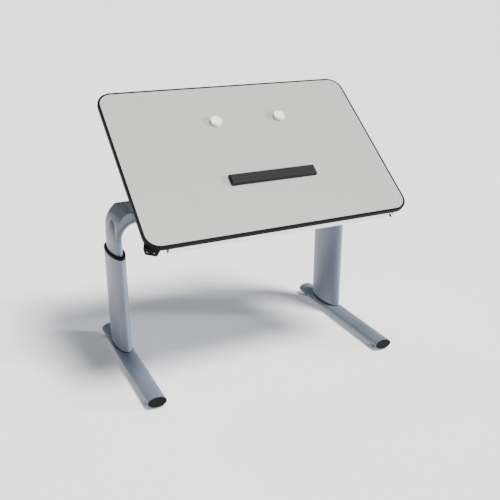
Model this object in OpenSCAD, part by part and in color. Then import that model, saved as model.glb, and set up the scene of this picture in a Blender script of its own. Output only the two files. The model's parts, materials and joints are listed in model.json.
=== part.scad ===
// Electric sit-stand drafting table with a tilting magnetic top.
// Two oval telescopic legs stand on oval feet.  Each leg ends in a cast elbow
// that turns inwards to a hollow cross beam.  Two channel arms run forward
// from the beam to the hinge line of the top.  A swinging prop frame holds the
// top: its upper pivots are as far from the hinge line as from the foot axle,
// so the axle always stays on the straight line of the arms.
// Origin: on the floor, under the middle of the whole table.  Inside the
// modules Y is counted from the column centres; placed() sets it all back.
// +X to the user's right, +Y away from the user, +Z up.  Millimetres.

/* [Table top] */
// Overall width of the table top
top_w = 1200; // [1180:10:1400]
// Overall depth of the table top
top_d = 800; // [790:10:900]
// Thickness of the table top
top_t = 25; // [22:1:30]
// Outside corner radius of the table top
corner_r = 68; // [45:1:90]
// Width of the black edge moulding
edge_w = 10; // [8:1:14]
// Slope of the table top in degrees
tilt = 37.1; // [5:0.1:70]

/* [Top frame] */
// Length of the front rail under the top
rail_len = 1016; // [980:2:1060]
// Depth of the front rail along the top
rail_d = 40; // [30:1:40]
// Height of the front rail
rail_h = 35; // [28:1:35]

/* [Arms and props] */
// Distance from the hinge line to the prop pivot
prop_b = 300; // [270:1:300]
// Half distance between the outer faces of the arms
arm_x = 440; // [430:1:444]
// Width of the prop bars
prop_w = 20; // [18:1:22]

/* [Legs] */
// Distance between the column centres
leg_spacing = 1141; // [1130:1:1160]
// Width of the outer column across the desk
col_w = 76; // [72:1:80]
// Depth of the outer column, front to back
col_d = 244; // [236:1:250]
// Height of the outer column's top edge
col_top = 516; // [500:1:520]
// Width of the inner tube across the desk
tube_w = 54; // [52:1:56]
// Depth of the inner tube, front to back
tube_d = 194; // [188:1:196]
// Height at which the elbow starts to bend
bend_z = 593; // [590:1:640]
// Radius of the elbow on its centre line
bend_r = 89; // [86:1:92]

/* [Feet] */
// Foot length
foot_len = 750; // [700:5:850]
// Foot end in front of the column centre
foot_front = 535; // [480:5:560]
// Foot width
foot_w = 83; // [78:1:90]
// Foot height
foot_h = 48; // [44:1:50]

/* [Things on the top] */
// Diameter of the round magnets
magnet_dia = 52; // [30:1:60]
// Thickness of the round magnets
magnet_h = 15; // [8:1:20]
// Length of the magnetic ruler bar
bar_len = 400; // [300:5:500]
// Width of the magnetic ruler bar
bar_w = 51; // [40:1:60]
// Thickness of the magnetic ruler bar
bar_h = 16; // [12:1:20]

/* [Hidden] */

round_fn = 96;
fit_gap = 0.05;
move_gap = 0.35;

leg_x = leg_spacing / 2;
foot_rear = foot_len - foot_front;
foot_wall = 3;
glide_h = 8;
foot_z = glide_h + foot_h / 2;
cap_t = 3;
col_z = glide_h + foot_h + 3;
col_wall = 3.5;
plate_t = 10;
plate_top = col_z + plate_t;
collar_t = 9.5;

tube_wall = 3;
tube_z = 130;
shoe_z = 150;
shoe_t = 40;
sleeve_t = 45;
spindle_r = 7;
spindle_z = 125;
nut_z = 400;
nut_t = 30;
motor_z = nut_z + nut_t + 56;
motor_t = 74;
journal_r = 5;
journal_t = 15;

elbow_wall = 5;
arc_x = leg_x - bend_r;
beam_z = bend_z + bend_r;
pad_z = beam_z + 36;
pad_wall = 8;
head_depth = 5;
pad_half = 94;
seam_x = arc_x + 21.5;
saddle_r = 127;
saddle_cx = leg_x - 115;
saddle_cz = bend_z + 21;
seam_gap = 2.6;
beam_end = seam_x - seam_gap;

arm_h = 40;
arm_t = 3;
arm_w = 28;
hinge_z = pad_z + arm_h / 2;
hinge_y = -527.2;
arm_y0 = hinge_y + 25;
arm_y1 = pad_half;
pin_r = 5;
lug_r = 13;

under = 24;
top_h = under + top_t;
front_u = -62;
rear_u = front_u + top_d;
rail_u = front_u + 5;
frame_t = 25;
frame_w = 30;
frame_x = 470;
rear_rail_u = rear_u - 48;

prop_rise = 8;
prop_rise_angle = atan(prop_rise / prop_b);
prop_len = sqrt(prop_b * prop_b + prop_rise * prop_rise);
prop_x = arm_x - 46;
prop_t = 6;
axle_r = 6;
axle_y = hinge_y + 2 * prop_len * cos(tilt + prop_rise_angle);
runner_r = arm_h / 2 - arm_t - 0.3;

handset_x = -575;
handset_u = -55;
handset_turn = -21.9;
face_lean = 35;
face_y = -4.5;
face_h = 1;
lever_x = 520;
lever_u = 0;
lever_h = 6;

// Distance of the column centres behind the origin, from the lower front edge
// of the top and the rear ends of the feet.
front_reach = top_h * sin(tilt) - front_u * cos(tilt) - hinge_y;
set_back = round((front_reach - foot_rear) / 2);

aluminium = [0.66, 0.70, 0.76];
casting = [0.60, 0.64, 0.70];
steel = [0.62, 0.63, 0.64];
dark_steel = [0.30, 0.31, 0.32];
black = [0.07, 0.07, 0.07];
rubber_black = [0.10, 0.10, 0.10];
light_grey = [0.84, 0.85, 0.84];
laminate = [0.77, 0.77, 0.765];
board_brown = [0.62, 0.52, 0.38];
white = [0.93, 0.93, 0.92];
brass = [0.72, 0.58, 0.32];
nylon = [0.85, 0.85, 0.80];

// ---- shared shapes ----

// Colours a sub-part and sets it back from the column centres to the origin.
module placed(tone) {
    color(tone)
        translate([0, set_back, 0])
            children();
}

// Flat oval with the given full sizes.
module oval(w, d, facets = round_fn) {
    scale([w / 2, d / 2])
        circle(r = 1, $fn = facets);
}

// Extrude a sketch of X and Z along Y.
module along_y(y0, y1) {
    translate([0, y1, 0])
        rotate([90, 0, 0])
            linear_extrude(height = y1 - y0)
                children();
}

// Extrude a sketch of Y and Z along X.
module along_x(x0, x1) {
    translate([x0, 0, 0])
        rotate([90, 0, 90])
            linear_extrude(height = x1 - x0)
                children();
}

module span(x0, x1, y0, y1, z0, z1) {
    translate([x0, y0, z0])
        cube([x1 - x0, y1 - y0, z1 - z0]);
}

module rod_z(r, z0, z1) {
    translate([0, 0, z0])
        cylinder(r = r, h = z1 - z0, $fn = 48);
}

module rod_x(r, x0, x1) {
    translate([x0, 0, 0])
        rotate([0, 90, 0])
            cylinder(r = r, h = x1 - x0, $fn = 48);
}

module rod_y(r, y0, y1) {
    translate([0, y0, 0])
        rotate([-90, 0, 0])
            cylinder(r = r, h = y1 - y0, $fn = 48);
}

// Built for the right-hand side, mirrored for the left.
module on_side(side) {
    mirror([side < 0 ? 1 : 0, 0, 0])
        children();
}

module both_sides() {
    for (side = [-1, 1])
        on_side(side)
            children();
}

// The frame of the tilting top: X along the hinge line, Y up the slope,
// Z square to the writing surface, origin on the hinge axis.
module on_top() {
    translate([0, hinge_y, hinge_z])
        rotate([tilt, 0, 0])
            children();
}

module plate_outline(inset) {
    w = top_w / 2 - inset;
    r = corner_r - inset;
    u0 = front_u + inset;
    u1 = rear_u - inset;
    translate([-w, u0 + r])
        square([2 * w, u1 - u0 - 2 * r]);
    translate([-w + r, u0])
        square([2 * w - 2 * r, u1 - u0]);
    for (x = [-w + r, w - r], u = [u0 + r, u1 - r])
        translate([x, u])
            circle(r = r, $fn = round_fn);
}

// ---- feet and columns ----

module foot(side) {
    placed(aluminium)
        on_side(side)
            translate([leg_x, 0, 0])
                difference() {
                    translate([0, 0, foot_z])
                        along_y(-foot_front + cap_t, foot_rear - cap_t)
                            difference() {
                                oval(foot_w, foot_h);
                                oval(foot_w - 2 * foot_wall, foot_h - 2 * foot_wall);
                            }
                    for (y = bolt_rows())
                        translate([0, y, 0]) {
                            rod_z(10, 0, foot_z);
                            rod_z(5.5, foot_z, col_z + 1);
                        }
                    for (y = glide_rows())
                        translate([0, y, 0])
                            rod_z(4.2, 0, foot_z);
                }
}

function bolt_rows() = [-70, 70];
function glide_rows() = [-foot_front + 45, foot_rear - 45];

// Oval end plates, each with a block that plugs into the foot.
module foot_caps() {
    plug_w = 56;
    plug_h = 24;
    plug_t = 14;
    front = -foot_front + cap_t;
    rear = foot_rear - cap_t;
    placed(black)
        for (side = [-1, 1])
            translate([side * leg_x, 0, foot_z]) {
                for (y = [-foot_front, rear])
                    along_y(y, y + cap_t)
                        oval(foot_w - 1.6, foot_h - 1.6);
                for (y = [front, rear - plug_t])
                    span(-plug_w / 2, plug_w / 2, y, y + plug_t, -plug_h / 2, plug_h / 2);
            }
}

module glides() {
    placed(rubber_black)
        both_sides()
            for (y = glide_rows())
                translate([leg_x, y, 0]) {
                    rod_z(15, 0, 3);
                    translate([0, 0, 3])
                        cylinder(r1 = 15, r2 = 9, h = glide_h - 3.2, $fn = 48);
                    rod_z(4, 1, foot_z - 2);
                }
}

// Clamp block inside each foot and plate inside the bottom of each column.
module leg_plates() {
    half_w = 26;
    half_h = 15;
    placed(dark_steel)
        both_sides()
            translate([leg_x, 0, 0]) {
                difference() {
                    span(-half_w, half_w, -100, 100, foot_z - half_h, foot_z + half_h);
                    for (y = bolt_rows())
                        translate([0, y, 0]) {
                            rod_z(9.5, 0, foot_z - 8);
                            rod_z(5.2, foot_z - 9, col_z);
                        }
                }
                translate([0, 0, col_z])
                    linear_extrude(height = plate_t)
                        difference() {
                            oval(col_w - 2 * col_wall - 0.2, col_d - 2 * col_wall - 0.2);
                            for (y = bolt_rows())
                                translate([0, y])
                                    circle(r = 5 + fit_gap, $fn = 48);
                        }
            }
}

// Height just clear of the foot's upper surface, at x from its middle.
function over_foot(x) =
    foot_z + (foot_h / 2 + 0.25) * sqrt(1 - pow(x / (foot_w / 2 + 0.25), 2));

// Gaskets that fill the space between each round-backed foot and its column.
module column_gaskets() {
    reach = 40;
    step = 2.5;
    placed(rubber_black)
        for (side = [-1, 1])
            translate([side * leg_x, 0, 0])
                difference() {
                    translate([0, 0, foot_z + 8])
                        linear_extrude(height = col_z - foot_z - 8)
                            difference() {
                                oval(col_w, col_d);
                                for (y = bolt_rows())
                                    translate([0, y])
                                        circle(r = 5.5, $fn = 48);
                            }
                    along_y(-col_d, col_d)
                        polygon([[-reach, 0], for (x = [-reach : step : reach]) [x, over_foot(x)], [reach, 0]]);
                }
}

module column(side) {
    placed(aluminium)
        on_side(side)
            translate([leg_x, 0, col_z])
                linear_extrude(height = col_top - col_z)
                    difference() {
                        oval(col_w, col_d);
                        oval(col_w - 2 * col_wall, col_d - 2 * col_wall);
                    }
}

module column_bolts() {
    placed(steel)
        both_sides()
            for (y = bolt_rows())
                translate([leg_x, y, 0])
                    difference() {
                        union() {
                            rod_z(5, foot_z - 8, plate_top);
                            rod_z(8.5, foot_z - 18, foot_z - 8);
                        }
                        translate([0, 0, foot_z - 18.1])
                            cylinder(r = 4.5, h = 5, $fn = 6);
                    }
}

module collar_rings() {
    placed(black)
        both_sides()
            translate([leg_x, 0, col_top])
                difference() {
                    union() {
                        linear_extrude(height = collar_t)
                            oval(col_w + 1, col_d + 1);
                        translate([0, 0, collar_t])
                            scale([(col_w + 1) / 2, (col_d + 1) / 2, 1])
                                cylinder(r1 = 1, r2 = 0.9, h = 2, $fn = round_fn);
                    }
                    translate([0, 0, -1])
                        linear_extrude(height = collar_t + 5)
                            oval(tube_w + 2 * move_gap, tube_d + 2 * move_gap);
                }
}

module guide_sleeves() {
    placed(nylon)
        both_sides()
            translate([leg_x, 0, col_top - sleeve_t])
                linear_extrude(height = sleeve_t - 0.1)
                    difference() {
                        oval(col_w - 2 * col_wall - 0.2, col_d - 2 * col_wall - 0.2);
                        oval(tube_w + 2 * move_gap, tube_d + 2 * move_gap);
                    }
}

module lift_tubes() {
    placed(steel)
        both_sides()
            translate([leg_x, 0, 0])
                difference() {
                    union() {
                        rod_z(15, plate_top, nut_z);
                        rod_z(24, plate_top, plate_top + 6);
                    }
                    rod_z(11, plate_top - 1, nut_z + 1);
                }
}

module lift_nuts() {
    placed(brass)
        both_sides()
            translate([leg_x, 0, 0])
                difference() {
                    union() {
                        rod_z(18, nut_z, nut_z + nut_t);
                        rod_z(10.9, nut_z - 12, nut_z);
                    }
                    rod_z(spindle_r + fit_gap, nut_z - 13, nut_z + nut_t + 1);
                }
}

// ---- lifting part of the legs ----

// Trapezoidal screw, shown with a run of thread grooves cut square to its axis.
module spindle(side) {
    groove_pitch = 20;
    top = motor_z - 0.5;
    placed(steel)
        on_side(side)
            translate([leg_x, 0, 0])
                difference() {
                    union() {
                        rod_z(spindle_r, spindle_z, top);
                        rod_z(journal_r, top, motor_z + journal_t);
                    }
                    for (z = [spindle_z + groove_pitch : groove_pitch : top - groove_pitch])
                        translate([0, 0, z])
                            rotate_extrude($fn = 48)
                                translate([spindle_r - 1, 0])
                                    square([2, 3]);
                    translate([-spindle_r, spindle_r - 1.5, spindle_z - 1])
                        cube([2 * spindle_r, 3, 13]);
                }
}

module inner_tube(side) {
    placed(aluminium)
        on_side(side)
            translate([leg_x, 0, tube_z])
                linear_extrude(height = bend_z - tube_z)
                    difference() {
                        oval(tube_w, tube_d);
                        oval(tube_w - 2 * tube_wall, tube_d - 2 * tube_wall);
                    }
}

module slide_shoes() {
    placed(nylon)
        both_sides()
            translate([leg_x, 0, shoe_z])
                linear_extrude(height = shoe_t)
                    difference() {
                        oval(col_w - 2 * col_wall - 0.8, col_d - 2 * col_wall - 0.8);
                        oval(tube_w + 0.1, tube_d + 0.1);
                    }
}

module motors() {
    placed(dark_steel)
        both_sides()
            translate([leg_x, 0, 0])
                difference() {
                    union() {
                        rod_z(21, motor_z, motor_z + motor_t);
                        translate([0, 0, motor_z])
                            linear_extrude(height = 8)
                                oval(tube_w - 2 * tube_wall - 0.3, 150);
                        rod_z(7, motor_z + motor_t, motor_z + motor_t + 4);
                    }
                    rod_z(journal_r + fit_gap, motor_z - 1, motor_z + journal_t + 0.5);
                    for (y = [-50, 50])
                        translate([0, y, 0])
                            rod_z(14, motor_z - 1, motor_z + 9);
                }
}

// Each cable leaves its motor, follows the bore of the elbow and the beam
// and drops into the control box.
module motor_cables() {
    r = 3.2;
    turn = 20;
    drop_x = 100;
    placed(rubber_black)
        both_sides() {
            translate([leg_x, 0, 0])
                rod_z(r, motor_z + motor_t + 4, bend_z);
            translate([arc_x, 0, bend_z])
                rotate([90, 0, 0])
                    rotate_extrude(angle = 90, $fn = round_fn)
                        translate([bend_r, 0])
                            circle(r = r, $fn = 24);
            translate([0, 0, beam_z])
                rod_x(r, drop_x + turn, arc_x);
            translate([drop_x + turn, 0, beam_z - turn])
                rotate([90, 0, 0])
                    rotate([0, 0, 90])
                        rotate_extrude(angle = 90, $fn = round_fn)
                            translate([turn, 0])
                                circle(r = r, $fn = 24);
            translate([drop_x, 0, 0])
                rod_z(r, box_top() - 6, beam_z - turn);
        }
}

// ---- elbows and cross beam ----

module bend(w, d, a) {
    translate([arc_x, 0, bend_z])
        rotate([90, 0, 0])
            rotate_extrude(angle = a, $fn = round_fn)
                translate([bend_r, 0])
                    oval(w, d);
}

// Flat-topped saddle on the outer side of the bend.
module saddle_sketch() {
    difference() {
        intersection() {
            translate([saddle_cx, saddle_cz])
                circle(r = saddle_r, $fn = 2 * round_fn);
            translate([seam_x, bend_z])
                square([2 * saddle_r, pad_z - bend_z]);
        }
        translate([arc_x, bend_z])
            circle(r = bend_r, $fn = 2 * round_fn);
    }
}

function pad_screw_x() = [seam_x + 16, seam_x - 29];
function pad_screw_y() = [-68, 68];
function side_screw_y() = [-30, 10, 50];
side_screw_angle = 32.6;

module elbow(side) {
    placed(casting)
        on_side(side)
            difference() {
                union() {
                    intersection() {
                        bend(tube_w, tube_d, 90);
                        span(seam_x, 2 * leg_x, -200, 200, bend_z - 1, pad_z);
                    }
                    along_y(-pad_half, pad_half)
                        saddle_sketch();
                    translate([leg_x, 0, bend_z - 30])
                        linear_extrude(height = 31)
                            oval(tube_w - 2 * tube_wall - 0.1, tube_d - 2 * tube_wall - 0.1);
                }
                bend(tube_w - 2 * elbow_wall, tube_d - 2 * elbow_wall, 90);
                translate([leg_x, 0, bend_z - 31])
                    linear_extrude(height = 32)
                        oval(tube_w - 2 * elbow_wall - 6, tube_d - 2 * elbow_wall - 6);
                for (y = pad_screw_y())
                    translate([pad_screw_x()[0], y, 0]) {
                        rod_z(7.5, pad_z - head_depth, pad_z + 1);
                        rod_z(4 + fit_gap, beam_z - 20, pad_z);
                    }
                for (y = side_screw_y())
                    translate([saddle_cx, y, saddle_cz])
                        rotate([0, -side_screw_angle, 0]) {
                            rod_x(5.5, saddle_r - 4, saddle_r + 5);
                            rod_x(2.6, saddle_r - 20, saddle_r + 5);
                        }
            }
}

// Section of the beam: an oval with a flat-topped pad over it.
module beam_outline(inset) {
    pad_low = beam_z + 8;
    translate([0, beam_z])
        oval(tube_d - 2 * inset, tube_w - 2 * inset);
    translate([-pad_half + inset, pad_low])
        square([2 * (pad_half - inset), pad_z - pad_low - inset]);
}

module beam_bore() {
    translate([0, beam_z])
        oval(tube_d - 2 * elbow_wall, tube_w - 2 * elbow_wall);
    translate([-pad_half + 6, beam_z])
        square([2 * pad_half - 12, pad_z - beam_z - pad_wall]);
}

// Blocks inside each joint of elbow and beam, and the dark plate between the
// two that shows as a groove round the joint.
module splice_blocks() {
    rim = 1.6;
    placed(dark_steel)
        for (side = [-1, 1]) {
            middle = side * (seam_x - seam_gap / 2);
            plate = seam_gap - 0.1;
            along_x(middle - plate / 2, middle + plate / 2)
                difference() {
                    beam_outline(rim);
                    beam_bore();
                }
            for (row = [-1, 1])
                difference() {
                    span(side * (seam_x - 13.5) - 36.5, side * (seam_x - 13.5) + 36.5,
                         row > 0 ? 54 : -80, row > 0 ? 80 : -54, beam_z - 10, beam_z - 1);
                    for (x = pad_screw_x())
                        translate([side * x, row * 68, 0])
                            rod_z(4 + fit_gap, beam_z - 11, beam_z);
                }
        }
}

// Socket-head screw standing on z = 0, head upwards.
module cap_screw(r, len, head_r, head_t, key_r) {
    difference() {
        union() {
            rod_z(r, -len, 0.1);
            rod_z(head_r, 0, head_t);
        }
        translate([0, 0, head_t * 0.45])
            cylinder(r = key_r, h = head_t, $fn = 6);
    }
}

module elbow_screws() {
    placed(steel)
        both_sides()
            for (y = side_screw_y())
                translate([saddle_cx, y, saddle_cz])
                    rotate([0, -side_screw_angle, 0])
                        translate([saddle_r - 4 + fit_gap, 0, 0])
                            rotate([0, 90, 0])
                                cap_screw(2.5, 10, 4.6, 3.2, 2);
}

module cross_beam() {
    placed(aluminium)
        difference() {
            along_x(-beam_end, beam_end)
                difference() {
                    beam_outline(0);
                    beam_bore();
                }
            for (side = [-1, 1], y = pad_screw_y())
                translate([side * pad_screw_x()[1], y, 0]) {
                    rod_z(4 + fit_gap, pad_z - 10, pad_z + 1);
                    rod_z(7.5, pad_z - head_depth, pad_z + 1);
                }
            for (side = [-1, 1]) {
                translate([side * 100, 0, 0])
                    rod_z(6, beam_z - 40, beam_z);
                for (y = arm_screw_y())
                    translate([side * arm_screw_x(), y, 0])
                        rod_z(3 + fit_gap, pad_z - 10, pad_z + 1);
            }
        }
}

// ---- control box ----

function box_top() = beam_z - tube_w / 2 - 4;

module box_saddle() {
    placed(dark_steel)
        difference() {
            span(-140, 140, -38, 38, box_top(), beam_z - 16);
            along_x(-150, 150)
                translate([0, beam_z])
                    oval(tube_d + 0.2, tube_w + 0.2);
            for (side = [-1, 1])
                translate([side * 100, 0, 0])
                    rod_z(6, box_top() - 1, beam_z);
        }
}

module control_box() {
    r = 6;
    z1 = box_top();
    z0 = z1 - 42;
    placed(black)
        difference() {
            union() {
                span(-140 + r, 140 - r, -45, 45, z0, z1);
                span(-140, 140, -45 + r, 45 - r, z0, z1);
                for (x = [-140 + r, 140 - r], y = [-45 + r, 45 - r])
                    translate([x, y, 0])
                        rod_z(r, z0, z1);
            }
            span(-136, 136, -41, 41, z0 + 3, z1 - 3);
            for (side = [-1, 1])
                translate([side * 100, 0, 0])
                    rod_z(4, z1 - 4, z1 + 1);
            span(30, 60, 40, 50, z0 + 8, z0 + 32);
            span(-60, -40, 40, 50, z0 + 10, z0 + 22);
        }
}

module mains_inlet() {
    z0 = box_top() - 42;
    placed(rubber_black)
        difference() {
            union() {
                span(30.2, 59.8, 30, 45, z0 + 8.2, z0 + 31.8);
                span(26, 64, 45, 47, z0 + 5, z0 + 35);
            }
            span(33, 57, 33, 48, z0 + 11, z0 + 29);
        }
    placed(steel)
        for (x = [38, 45, 52])
            translate([x, 0, z0 + (x == 45 ? 23 : 17)])
                rod_y(1.2, 32, 43);
}

// ---- arms ----

function arm_screw_x() = arm_x + 16;
function arm_screw_y() = [-60, 60];

// Inward-facing channel with a welded foot flange.
module arm(side) {
    z0 = hinge_z - arm_h / 2;
    z1 = hinge_z + arm_h / 2;
    placed(aluminium)
        on_side(side)
            difference() {
                union() {
                    span(arm_x - arm_t, arm_x, arm_y0, arm_y1, z0, z1);
                    span(arm_x - arm_w, arm_x, arm_y0, arm_y1, z0, z0 + arm_t);
                    span(arm_x - arm_w, arm_x, arm_y0, arm_y1, z1 - arm_t, z1);
                    span(arm_x - arm_w, arm_x, arm_y1 - 3, arm_y1, z0, z1);
                    span(arm_x - 1, arm_x + 28, -80, 80, z0, z0 + 5);
                }
                for (y = arm_screw_y())
                    translate([arm_screw_x(), y, 0])
                        rod_z(3.2, z0 - 1, z0 + 6);
                for (y = lug_screw_y())
                    translate([0, y, hinge_z])
                        rod_x(3.2, arm_x - 10, arm_x + 1);
            }
}

function lug_screw_y() = [arm_y0 + 14, arm_y0 + 44];

// Sunk screws of the splice blocks, and the screws of the arms and lugs.
module beam_screws() {
    placed(dark_steel) {
        both_sides()
            for (x = pad_screw_x(), y = pad_screw_y())
                translate([x, y, pad_z - head_depth])
                    cap_screw(4, pad_z - head_depth - beam_z + 9, 6.5, 2.6, 3.4);
        both_sides()
            for (y = arm_screw_y())
                translate([arm_screw_x(), y, hinge_z - arm_h / 2 + 5 + fit_gap])
                    cap_screw(3, 15, 5, 5, 2.5);
        both_sides()
            for (y = lug_screw_y())
                translate([arm_x + fit_gap, y, hinge_z])
                    rotate([0, 90, 0])
                        cap_screw(3, 14, 5, 2.2, 2);
    }
}

module hinge_lugs() {
    placed(casting)
        both_sides()
            difference() {
                union() {
                    translate([0, hinge_y, hinge_z])
                        rod_x(lug_r, arm_x - 24, arm_x - 6);
                    along_x(arm_x - 24, arm_x - 6)
                        translate([hinge_y, hinge_z])
                            polygon([[1, -12.9], [27, -arm_h / 2 + arm_t + 0.1], [27, arm_h / 2 - arm_t - 0.1], [1, 12.9]]);
                    span(arm_x - 24, arm_x - arm_t - 0.05, arm_y0, arm_y0 + 60,
                         hinge_z - arm_h / 2 + arm_t + 0.1, hinge_z + arm_h / 2 - arm_t - 0.1);
                }
                translate([0, hinge_y, hinge_z])
                    rod_x(pin_r + fit_gap, arm_x - 40, arm_x);
                for (y = lug_screw_y())
                    translate([0, y, hinge_z])
                        rod_x(3 + fit_gap, arm_x - 16, arm_x);
            }
}

module rest_buffers() {
    placed(rubber_black)
        both_sides()
            translate([arm_x - 14, 40, hinge_z + arm_h / 2])
                rod_z(8, 0, under - arm_h / 2 - move_gap);
}

// ---- table top ----

module board_core() {
    placed(board_brown)
        on_top()
            translate([0, 0, under])
                linear_extrude(height = top_t - 1.8)
                    plate_outline(edge_w);
}

module steel_sheet() {
    placed(steel)
        on_top()
            translate([0, 0, top_h - 1.8])
                linear_extrude(height = 0.8)
                    plate_outline(edge_w);
}

module writing_surface() {
    placed(laminate)
        on_top()
            translate([0, 0, top_h - 1])
                linear_extrude(height = 1)
                    plate_outline(edge_w);
}

// Moulding section: outwards along X, up along Y.
module edge_section() {
    low_r = edge_w - 1;
    high_r = 2;
    translate([0, low_r])
        square([edge_w, top_t - low_r - high_r]);
    square([1, low_r]);
    translate([0, top_t - high_r])
        square([edge_w - high_r, high_r]);
    translate([edge_w - high_r, top_t - high_r])
        circle(r = high_r, $fn = 48);
    intersection() {
        translate([edge_w - low_r, low_r])
            circle(r = low_r, $fn = round_fn);
        square([edge_w, top_t]);
    }
}

module edge_band() {
    r = corner_r - edge_w;
    w = top_w / 2 - corner_r;
    u0 = front_u + corner_r;
    u1 = rear_u - corner_r;
    corners = [[w, u1, 0], [-w, u1, 90], [-w, u0, 180], [w, u0, 270]];
    placed(rubber_black)
        on_top()
            translate([0, 0, under])
                union() {
                    for (c = corners)
                        translate([c[0], c[1], 0])
                            rotate([0, 0, c[2]])
                                rotate_extrude(angle = 90, $fn = round_fn)
                                    translate([r, 0])
                                        edge_section();
                    translate([0, u0, 0])
                        for (m = [0, 1])
                            mirror([m, 0, 0])
                                translate([w + r, 0, 0])
                                    rotate([0, 0, 0])
                                        along_y(0, u1 - u0)
                                            edge_section();
                    for (end = [[u1 + r, 0], [u0 - r, 1]])
                        translate([0, end[0], 0])
                            mirror([0, end[1], 0])
                                along_x(-w, w)
                                    edge_section();
                }
}

// ---- frame under the top ----

module front_rail() {
    x = rail_len / 2 - 2;
    placed(light_grey)
        on_top()
            difference() {
                span(-x, x, rail_u, rail_u + rail_d, under - rail_h, under);
                span(-x - 1, x + 1, rail_u + 2, rail_u + rail_d - 2, under - rail_h + 2, under - 2);
                for (side = [-1, 1])
                    translate([side * cable_x(), 0, cable_h()])
                        rod_y(4, rail_u + rail_d - 3, rail_u + rail_d + 1);
            }
}

module rail_caps() {
    placed([0.42, 0.44, 0.46])
        on_top()
            both_sides()
                difference() {
                    union() {
                        span(rail_len / 2 - 2, rail_len / 2, rail_u, rail_u + rail_d, under - rail_h, under);
                        span(rail_len / 2 - 14, rail_len / 2 - 1, rail_u + 2.1, rail_u + rail_d - 2.1,
                             under - rail_h + 2.1, under - 2.1);
                    }
                    span(rail_len / 2 - 15, rail_len / 2 - 2, rail_u + 4, rail_u + rail_d - 4,
                         under - rail_h + 4, under - 4);
                    for (off = [-4, 0])
                        translate([0, cable_u() + off, cable_h()])
                            rod_x(2.4, rail_len / 2 - 15, rail_len / 2 + 1);
                }
}

module side_rails() {
    placed(light_grey)
        on_top()
            both_sides()
                difference() {
                    span(frame_x, frame_x + frame_w, rail_u + rail_d, rear_rail_u, under - frame_t, under);
                    span(frame_x + 2, frame_x + frame_w - 2, rail_u + rail_d - 1, rear_rail_u + 1,
                         under - frame_t + 2, under - 2);
                    for (u = [60, 320, 560])
                        translate([frame_x + frame_w / 2, u, 0])
                            rod_z(4.5, under - frame_t - 1, under - frame_t + 3);
                }
}

module rear_rail() {
    placed(light_grey)
        on_top()
            difference() {
                span(-rail_len / 2, rail_len / 2, rear_rail_u, rear_rail_u + frame_w, under - frame_t, under);
                span(-rail_len / 2 - 1, rail_len / 2 + 1, rear_rail_u + 2, rear_rail_u + frame_w - 2,
                     under - frame_t + 2, under - 2);
            }
}

// Upright ear with its eye on the given axis, reaching up to the board.
module ear(x0, x1, u, h, r, half) {
    translate([0, u, h])
        rod_x(r, x0, x1);
    along_x(x0, x1)
        polygon([[u - r, h], [u + r, h], [u + half, under - 1], [u - half, under - 1]]);
}

module hinge_brackets() {
    u_mid = 12;
    placed(steel)
        on_top()
            both_sides()
                difference() {
                    union() {
                        ear(arm_x - 35, arm_x - 30, 0, 0, 14, 15.5);
                        ear(arm_x + 2.5, arm_x + 7.5, 0, 0, 14, 15.5);
                        span(arm_x - 55, arm_x + 29, -15.5, 40, under - 3, under);
                    }
                    rod_x(pin_r + fit_gap, arm_x - 60, arm_x + 30);
                    for (x = bracket_screw_x(), u = [-7, 32])
                        translate([x, u, 0])
                            rod_z(2.7, under - 4, under + 1);
                }
}

function bracket_screw_x() = [arm_x - 46, arm_x + 19];

module hinge_pins() {
    placed(steel)
        on_top()
            both_sides()
                union() {
                    rod_x(pin_r, arm_x - 37, arm_x + 9);
                    rod_x(pin_r + 2, arm_x + 8.5, arm_x + 11);
                    rod_x(pin_r + 1.5, arm_x - 38, arm_x - 36);
                }
}

module prop_brackets() {
    placed(steel)
        on_top()
            both_sides()
                difference() {
                    union() {
                        ear(prop_x - 7, prop_x - 3, prop_b, prop_rise, 11, 24);
                        ear(prop_x + prop_t + 3, prop_x + prop_t + 7, prop_b, prop_rise, 11, 24);
                        span(prop_x - 7, prop_x + prop_t + 7, prop_b - 40, prop_b + 40, under - 3, under);
                    }
                    translate([0, prop_b, prop_rise])
                        rod_x(pin_r + fit_gap, prop_x - 20, prop_x + 30);
                    for (u = [prop_b - 32, prop_b + 32])
                        translate([prop_x + prop_t / 2, u, 0])
                            rod_z(2.7, under - 4, under + 1);
                }
}

// Spring-wrap brakes that hold the prop pins until the lever is squeezed.
module lock_units() {
    x1 = prop_x - 7.2;
    placed(black)
        on_top()
            both_sides()
                difference() {
                    union() {
                        translate([0, prop_b, prop_rise])
                            rod_x(15.5, x1 - 22, x1);
                        span(x1 - 22, x1 - 2, prop_b - 15, prop_b + 15, prop_rise, under);
                        span(x1 - 18, x1 - 4, prop_b - 26, prop_b - 10, prop_rise - 4, prop_rise + 10);
                    }
                    translate([0, prop_b, prop_rise])
                        rod_x(pin_r + fit_gap, x1 - 18, x1 + 1);
                }
}

module bracket_screws() {
    placed(steel)
        on_top()
            both_sides() {
                for (x = bracket_screw_x(), u = [-7, 32])
                    translate([x, u, under - 3 - fit_gap])
                        mirror([0, 0, 1])
                            cap_screw(2.5, 3, 4.2, 3, 2);
                for (u = [prop_b - 32, prop_b + 32])
                    translate([prop_x + prop_t / 2, u, under - 3 - fit_gap])
                        mirror([0, 0, 1])
                            cap_screw(2.5, 3, 4.2, 3, 2);
            }
}

function cable_x() = prop_x - 18;
function cable_u() = rail_u + rail_d / 2;
function cable_h() = 13.5;

// A quarter turn of cable about the point x, u, starting at angle a.
module cable_turn(x, u, turn, r, a) {
    translate([x, u, cable_h()])
        rotate([0, 0, a])
            rotate_extrude(angle = 90, $fn = round_fn)
                translate([turn, 0])
                    circle(r = r, $fn = 24);
}

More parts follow.
